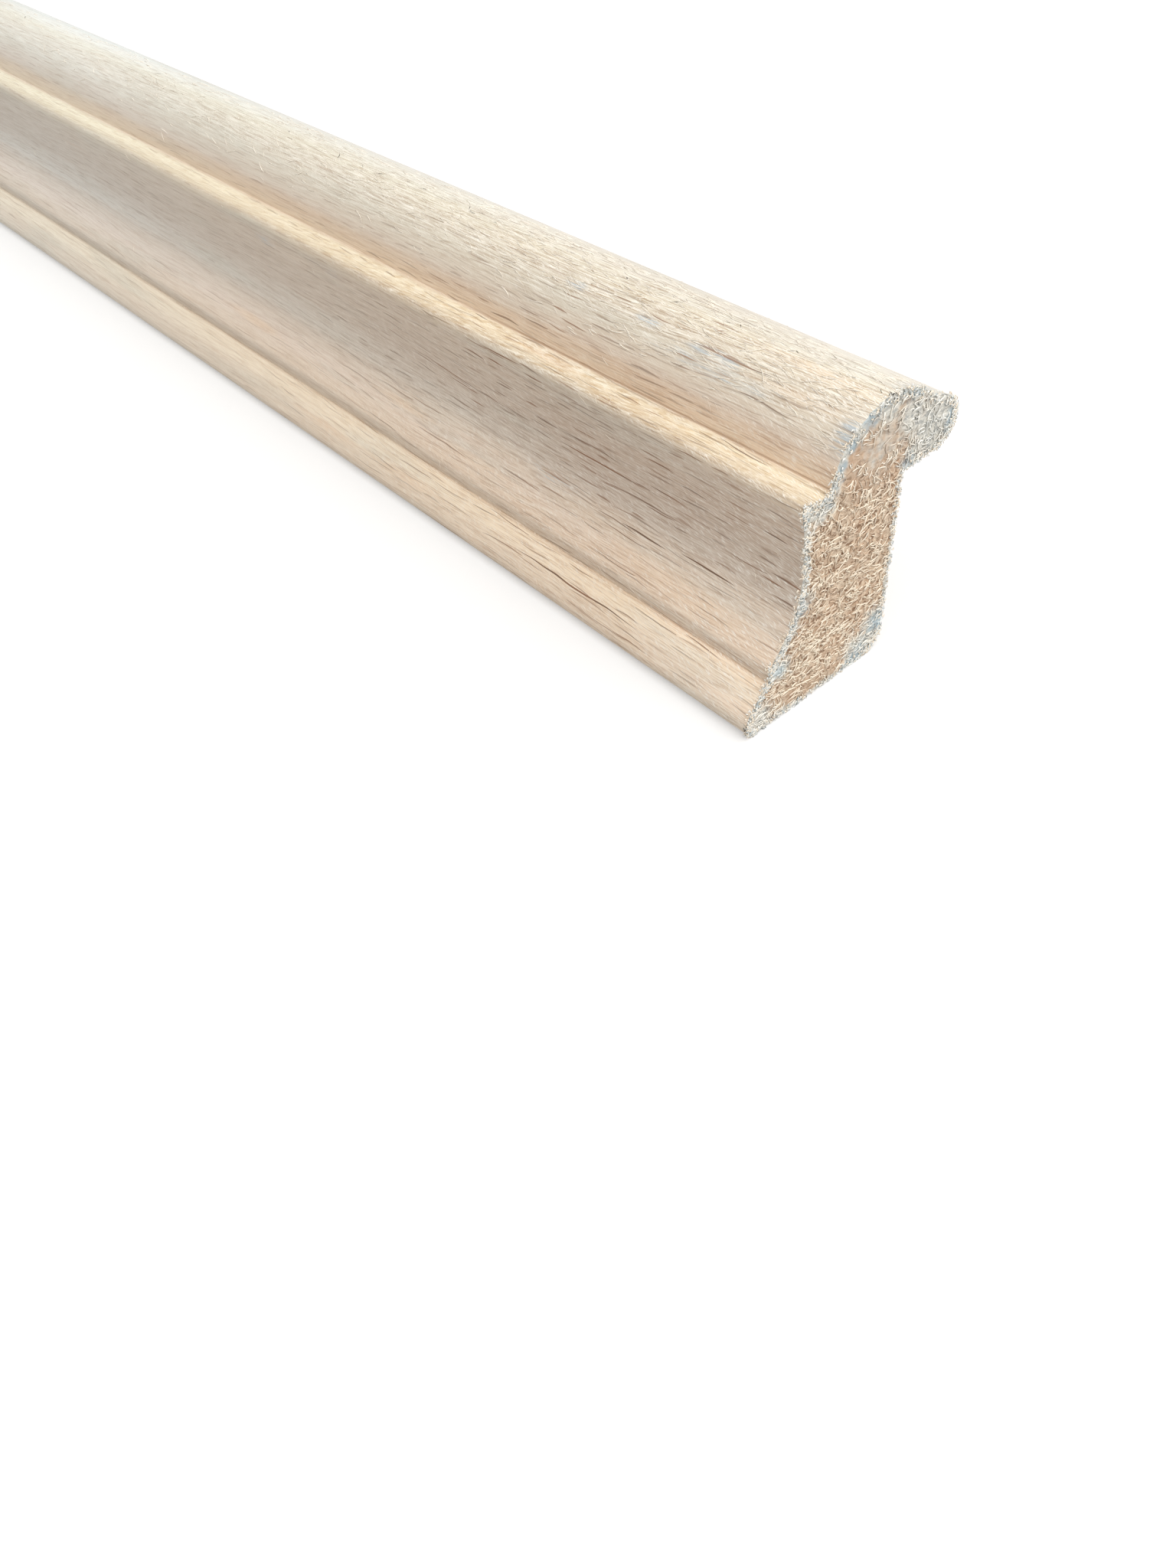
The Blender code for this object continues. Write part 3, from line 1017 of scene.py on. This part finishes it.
class Fibres:
    """Collects thin three-sided tapered fibres into one mesh, all inside the CAD box."""

    def __init__(self, name):
        self.name = name
        self.points = []
        self.faces = []
        self.values = {"stain": [], "blue": [], "pale": []}

    def add(self, path, lift, width, stain, blue, pale):
        """One fibre along a path of points; lift is the direction out of the face that it lies on."""
        start, last = len(self.points), len(path) - 1
        for i, at in enumerate(path):
            heading = path[min(i + 1, last)] - path[max(i - 1, 0)]
            side = np.cross(heading, lift)
            side /= max(np.linalg.norm(side), 1e-12)
            radius = width / 2 * (1 - 0.75 * (i / last) ** 3)
            for k in range(3):
                angle = math.pi / 2 + k * 2 * math.pi / 3
                spot = at + (side * math.cos(angle) + lift * math.sin(angle)) * radius
                self.points.append(np.clip(spot, *CAD_BOX).tolist())
        for i in range(last):
            for k in range(3):
                a, b = start + i * 3 + k, start + i * 3 + (k + 1) % 3
                self.faces.append((a, b, b + 3, a + 3))
        tip = start + last * 3
        self.faces += [(start + 2, start + 1, start), (tip, tip + 1, tip + 2)]
        for values, value in zip(self.values.values(), (stain, blue, pale)):
            values.extend([value] * (last + 1) * 3)

    def build(self, material):
        mesh = bpy.data.meshes.new(self.name)
        mesh.from_pydata(self.points, [], self.faces)
        for name, values in self.values.items():
            add_values(mesh, name, values)
        mesh.materials.append(material)
        mesh.shade_smooth()
        return placed(self.name, mesh)


def curved(base, heading, side, length, curl, steps=4):
    """Points along a fibre that sets out along heading and turns a little to one side at each step."""
    path = [np.asarray(base, float)]
    for _ in range(steps):
        path.append(path[-1] + heading * length / steps)
        turned = heading + side * curl
        turned /= np.linalg.norm(turned)
        side = side - turned * (side @ turned)
        side /= np.linalg.norm(side)
        heading = turned
    return np.array(path)


def flat_path(start, angle, length, curl):
    """Places (y, z) along a fibre that lies on a sawn end."""
    heading = np.array((math.cos(angle), math.sin(angle)))
    return curved(start, heading, np.array((-heading[1], heading[0])), length, curl)


def strewn_threads(loop, rng):
    """Threads all over a sawn end: path, sink, width, stain, blue and paleness of each one."""
    spots = rng.uniform(loop.min(axis=0), loop.max(axis=0), (END_THREADS * 3, 2))
    spots = spots[inside(spots, loop)][:END_THREADS]
    spots = spots[rng.random(len(spots)) > spots_at(to_section(spots), CALM_SPOTS)]
    grey, blue = stains(spots, loop)
    room = rim_distance(spots, loop)
    heights = to_section(spots)[:, 1]
    high = np.clip((heights - 12) / 8, 0, 1)
    paler = 0.15 * np.clip((10 - heights) / 4, 0, 1) * (1 - grey)
    for spot, stain, chill, free, up, more in zip(spots, grey, blue, room, high, paler):
        ways = [THREAD_SLANT, math.pi / 2, rng.uniform(0, math.pi)]
        angle = rng.choice(ways, p=[0.62 - 0.25 * up, 0.08 + 0.2 * up, 0.3 + 0.05 * up])
        angle += rng.normal(0, 0.25) + rng.choice([0, math.pi])
        length = min(rng.uniform(*THREAD_LENGTH) * MM, free + 0.2 * MM)
        path = flat_path(spot, angle, length, rng.uniform(-0.5, 0.5))
        pale = min(rng.uniform(0.1, 1.4) + more, 1.0)
        yield path, 0.0, rng.uniform(*THREAD_WIDTH) * MM, stain, chill * rng.uniform(0, 1), pale


def rim_curls(loop, rng):
    """Tight curls round the rim of a sawn end, some of them hanging over its edge."""
    out = normals(loop)
    # Stain, blue and paleness of a plain curl, a grey one and a bluish one
    looks = ((0.15, 0.0, 0.85), (1.0, 0.0, 0.8), (1.0, 0.4, 0.25))
    chosen = rng.integers(0, len(loop), RIM_CURLS)
    chosen = chosen[rng.random(len(chosen)) > spots_at(to_section(loop[chosen]), CALM_SPOTS)]
    for i in chosen:
        hangs = rng.random() < 0.35
        inset = rng.uniform(-0.06, 0.06) if hangs else rng.uniform(0.06, 0.8)
        aside = np.array((-out[i, 1], out[i, 0])) * rng.uniform(-0.3, 0.3)
        path = flat_path(loop[i] - (out[i] * inset - aside) * MM, rng.uniform(0, 2 * math.pi),
                         rng.uniform(*CURL_LENGTH) * MM, rng.uniform(-1.1, 1.1))
        stain, blue, pale = looks[rng.choice(3, p=[0.6, 0.4, 0.0] if hangs else [0.35, 0.4, 0.25])]
        sink = rng.uniform(0, 0.5) * MM if hangs else 0.0
        yield path, sink, rng.uniform(*CURL_WIDTH) * MM, stain, blue, pale + rng.uniform(-0.2, 0.15)


def long_threads(rng):
    """The threads of LONG_THREADS, each laid as a row of overlapping pieces."""
    for start, end in LONG_THREADS:
        a, b = from_section(start), from_section(end)
        count = int(np.linalg.norm(b - a) / LONG_THREAD_STEP)
        for k in range(count):
            spot = a + (b - a) * k / count + rng.uniform(-0.08, 0.08, 2) * MM
            angle, curl = math.atan2(*(b - a)[::-1]), rng.uniform(-0.1, 0.1)
            yield flat_path(spot, angle, LONG_THREAD_PIECE, curl), 0.0, LONG_THREAD_WIDTH, 0.0, 0.0, 1.0


def end_fibres(name, loop, sign, material):
    """Torn fibres over one sawn end, lying on its torn surface and arched a little off it."""
    rng = np.random.default_rng(SEED + 10 + sign)
    x = NEAR_END if sign > 0 else FAR_END
    lift = np.array((float(sign), 0.0, 0.0))
    laid = [*strewn_threads(loop, rng), *rim_curls(loop, rng), *long_threads(rng)]
    depth, _ = sawn_relief(np.vstack([fibre[0] for fibre in laid]), loop, RELIEF_SEED + sign)
    fibres = Fibres(name)
    arch = FIBRE_ARCH * np.sin(np.linspace(0.25, math.pi, len(laid[0][0])))
    for (path, sink, width, stain, blue, pale), under in zip(laid, depth.reshape(len(laid), -1)):
        below = np.maximum(END_CLEARANCE + 0.5 * under - arch, FIBRE_SINK) + sink
        fibres.add(np.column_stack([x - sign * below, path]), lift, width, stain, blue, pale)
    return fibres.build(material)


def face_path(i, loop, out, away, length, slant, curl, rise):
    """A hair on a long face, from the outline's point i, at a distance back from the near end."""
    lift = np.array((0.0, out[i, 0], out[i, 1]))
    along = np.array((1.0, 0.0, 0.0))
    across = np.cross(lift, along)
    heading = along * math.cos(slant) + across * math.sin(slant)
    side = np.cross(lift, heading)
    base = np.array((NEAR_END - away, loop[i, 0], loop[i, 1]))
    path = curved(base, heading, side, length, curl)
    arch = rise * np.sin(np.linspace(0, math.pi, len(path)))
    return path + lift * (arch - FIBRE_SINK)[:, None], lift


def strew_hairs(fibres, rng, loop, weights, kind):
    """Hairs of one kind on the long faces, lying thickest at the near end and where the weights are high."""
    out = normals(loop)
    for i in rng.choice(len(loop), kind["count"], p=weights / weights.sum()):
        near, anywhere = rng.exponential(kind["near"] * MM), rng.uniform(0, LENGTH - 2 * HAIR_MARGIN)
        away = 1 * MM + rng.choice([near, anywhere], p=kind["shares"]) % (LENGTH - HAIR_MARGIN)
        slant = rng.normal(*kind["slant"]) + rng.choice([0, math.pi])
        length, width = rng.uniform(*kind["length"]) * MM, rng.uniform(*kind["width"]) * MM
        curl, rise = rng.uniform(-0.2, 0.2), rng.uniform(*kind["rise"]) * MM
        path, lift = face_path(i, loop, out, away, length, slant, curl, rise)
        fibres.add(path, lift, width, kind["stain"], 0, rng.uniform(*kind["pale"]))


def face_hairs(loop, around, material):
    """Fibres raised by the planer: pale tufts over the nose's crest, fine whiskers on the other faces."""
    rng = np.random.default_rng(SEED + 50)
    fibres = Fibres("face_hairs")
    places = to_section(loop)
    step = (around[1:] - around[:-1]) / MM
    over_crest = np.clip(1.2 - np.abs(places[:, 0] - CREST[0]) / 5.5, 0, 1) * (places[:, 1] > 26) * step
    strew_hairs(fibres, rng, loop, over_crest, TUFTS)
    arrises = np.clip(np.abs(turns(loop)) - 0.1, 0, 1)
    strew_hairs(fibres, rng, loop, (0.25 * step + arrises) * (places[:, 1] > 1), WHISKERS)
    return fibres.build(material)


def build_timber():
    loop = refined(section_outline(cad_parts[NODE]))
    around = girths(loop)
    mesh = timber_mesh(loop, around)
    mesh.materials.append(timber_material(loop, around))
    mesh.materials.append(sawn_material())
    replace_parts(placed("moulding_timber", mesh), NODE)
    fibre = fibre_material()
    end_fibres("end_fibres_plus_x", loop, 1, fibre)
    end_fibres("end_fibres_minus_x", loop, -1, fibre)
    face_hairs(loop, around, fibre)


# Studio

def seen_rays(g):
    """1 for the rays that show a thing, straight or in a reflection, and 0 for those that light it."""
    path = g.add("ShaderNodeLightPath").outputs
    return g.largest(path["Is Camera Ray"], path["Is Glossy Ray"], path["Is Transmission Ray"])


def build_floor():
    """A plain pale floor that shows white where it is lit and keeps the shadow."""
    mesh = bpy.data.meshes.new("floor")
    corners = [(x * FLOOR_HALF, y * FLOOR_HALF, 0) for x, y in ((-1, -1), (1, -1), (1, 1), (-1, 1))]
    mesh.from_pydata(corners, [], [(0, 1, 2, 3)])
    g = Graph(bpy.data.materials.new("floor_paper"))
    place = g.vector("DIVIDE", g.add("ShaderNodeTexCoord").outputs["Object"], (FLOOR_FADE, FLOOR_FADE, 1))
    middle = g.feed(g.add("ShaderNodeTexGradient", gradient_type="SPHERICAL"), Vector=place)
    glow = g.span(middle["Fac"], 0, 0.7, 1, FLOOR_GLOW)
    g.put(g.shader.inputs["Emission Color"], WHITE)
    g.put(g.shader.inputs["Emission Strength"], g.times(seen_rays(g), glow))
    mesh.materials.append(g.finish(FLOOR_TONE, 0.9, 0))
    floor = linked("floor", mesh)
    floor.location.z = -FLOOR_DROP


def build_room():
    """An even pale room that lights the moulding and shows white behind it."""
    world = bpy.data.worlds.new("room")
    bpy.context.scene.world = world
    g = Graph(world, "Background")
    room = g.feed(g.shader, Color=ROOM_TONE, Strength=ROOM_STRENGTH)
    white = g.feed(g.add("ShaderNodeBackground"), Color=WHITE)
    shown = g.fill(g.add("ShaderNodeMixShader"), seen_rays(g), room[0], white[0])
    g.put(g.tree.nodes["World Output"].inputs[0], shown)


def build_lamp():
    """One large soft lamp above, a little behind the moulding and towards its near end."""
    lamp = bpy.data.lights.new("soft_top_light", "AREA")
    lamp.shape = "SQUARE"
    lamp.size = LAMP_SIZE
    lamp.energy = LAMP_POWER
    lamp.color = LAMP_TONE
    holder = linked("soft_top_light", lamp)
    holder.location = LAMP_PLACE
    aim = Vector((NEAR_END, 0, 0)) - holder.location
    holder.rotation_euler = aim.to_track_quat("-Z", "Y").to_euler()


def build_camera():
    """Looks along the photograph's line of sight, with its roll and its focal length."""
    data = bpy.data.cameras.new("photo_camera")
    data.sensor_width = SENSOR
    data.lens = FOCAL_PIXELS / PHOTO_LONG_SIDE * SENSOR
    data.clip_start = 5 * MM
    camera = linked("photo_camera", data)
    tilt = Matrix.Rotation(math.pi / 2 - CAMERA_ELEVATION, 4, "X")
    turn = Matrix.Rotation(CAMERA_AZIMUTH, 4, "Z")
    roll = Matrix.Rotation(CAMERA_ROLL, 4, "Z")
    place = Vector((NEAR_END + CAMERA_FROM_END, CAD_BOX[0][1] - CAMERA_BEFORE_FOOT, CAMERA_HEIGHT))
    camera.matrix_world = Matrix.Translation(place) @ turn @ tilt @ roll
    bpy.context.scene.camera = camera


build_timber()
build_floor()
build_room()
build_lamp()
build_camera()
bpy.context.scene.view_settings.view_transform = "Standard"
